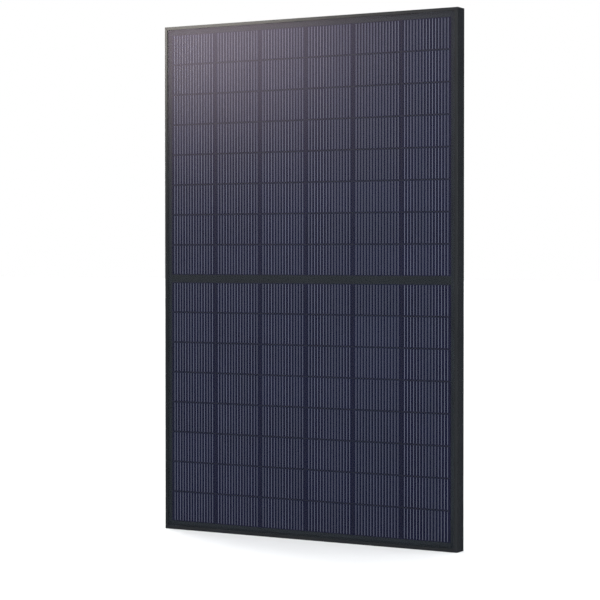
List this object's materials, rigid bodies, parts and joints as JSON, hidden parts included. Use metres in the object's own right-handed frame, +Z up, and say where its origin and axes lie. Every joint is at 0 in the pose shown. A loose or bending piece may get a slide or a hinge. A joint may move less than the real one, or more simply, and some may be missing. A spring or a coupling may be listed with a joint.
{
  "type": "solar panel",
  "caption": "Tall rectangular all-black framed photovoltaic panel of half-cut cells behind glass, with rear junction boxes, which turns sunlight into DC power.",
  "frame": {"origin": "centre of the earthing hole pattern, in the plane of the frame's rear mounting flange", "axes": "+Z up along the panel's long side, +X to the right when facing the glass, -Y out of the glass, +Y out of the rear"},
  "size_m": [1.134, 0.05, 1.762],
  "materials": {
    "frame_black": "black anodised, fine matt",
    "key_aluminium": "mill finish",
    "sealant_black": "cured silicone, satin",
    "solar_glass": "low-iron, lightly textured, anti-reflective",
    "encapsulant": "clear EVA",
    "backsheet_black": "matt film",
    "cell_silicon": "dark blue textured monocrystalline silicon",
    "ribbon_tinned": "tin-coated copper flat wire",
    "bus_black": "black-coated copper",
    "mask_black": "black film",
    "box_plastic": "moulded, fine spark texture",
    "lid_plastic": "moulded, fine spark texture",
    "clip_copper": "tinned copper",
    "diode_epoxy": "epoxy",
    "potting_silicone": "cured silicone potting",
    "gland_plastic": "moulded",
    "label_blank": "blank silver film label"
  },
  "bodies": {
    "root": {"rail_left": "frame_black", "rail_right": "frame_black", "rail_top": "frame_black", "rail_bottom": "frame_black", "corner_key_top_left": "key_aluminium", "corner_key_top_right": "key_aluminium", "corner_key_bottom_right": "key_aluminium", "corner_key_bottom_left": "key_aluminium", "sealant_left": "sealant_black", "sealant_right": "sealant_black", "sealant_top": "sealant_black", "sealant_bottom": "sealant_black", "front_glass": "solar_glass", "encapsulant_front": "encapsulant", "encapsulant_rear": "encapsulant", "backsheet": "backsheet_black", "cells_upper_1": "cell_silicon", "cells_upper_2": "cell_silicon", "cells_upper_3": "cell_silicon", "cells_upper_4": "cell_silicon", "cells_upper_5": "cell_silicon", "cells_upper_6": "cell_silicon", "cells_lower_1": "cell_silicon", "cells_lower_2": "cell_silicon", "cells_lower_3": "cell_silicon", "cells_lower_4": "cell_silicon", "cells_lower_5": "cell_silicon", "cells_lower_6": "cell_silicon", "ribbons_upper_1": "ribbon_tinned", "ribbons_upper_2": "ribbon_tinned", "ribbons_upper_3": "ribbon_tinned", "ribbons_upper_4": "ribbon_tinned", "ribbons_upper_5": "ribbon_tinned", "ribbons_upper_6": "ribbon_tinned", "ribbons_lower_1": "ribbon_tinned", "ribbons_lower_2": "ribbon_tinned", "ribbons_lower_3": "ribbon_tinned", "ribbons_lower_4": "ribbon_tinned", "ribbons_lower_5": "ribbon_tinned", "ribbons_lower_6": "ribbon_tinned", "bus_ribbons_top": "bus_black", "bus_ribbons_middle": "bus_black", "bus_ribbons_bottom": "bus_black", "mask_strip_top": "mask_black", "mask_strip_middle": "mask_black", "mask_strip_bottom": "mask_black", "lead_outs": "ribbon_tinned", "junction_box_left": "box_plastic", "junction_box_middle": "box_plastic", "junction_box_right": "box_plastic", "junction_box_lid_left": "lid_plastic", "junction_box_lid_middle": "lid_plastic", "junction_box_lid_right": "lid_plastic", "box_adhesive": "sealant_black", "terminal_clips": "clip_copper", "bypass_diodes": "diode_epoxy", "potting": "potting_silicone", "cable_glands": "gland_plastic", "rating_label": "label_blank"}
  },
  "joints": []
}
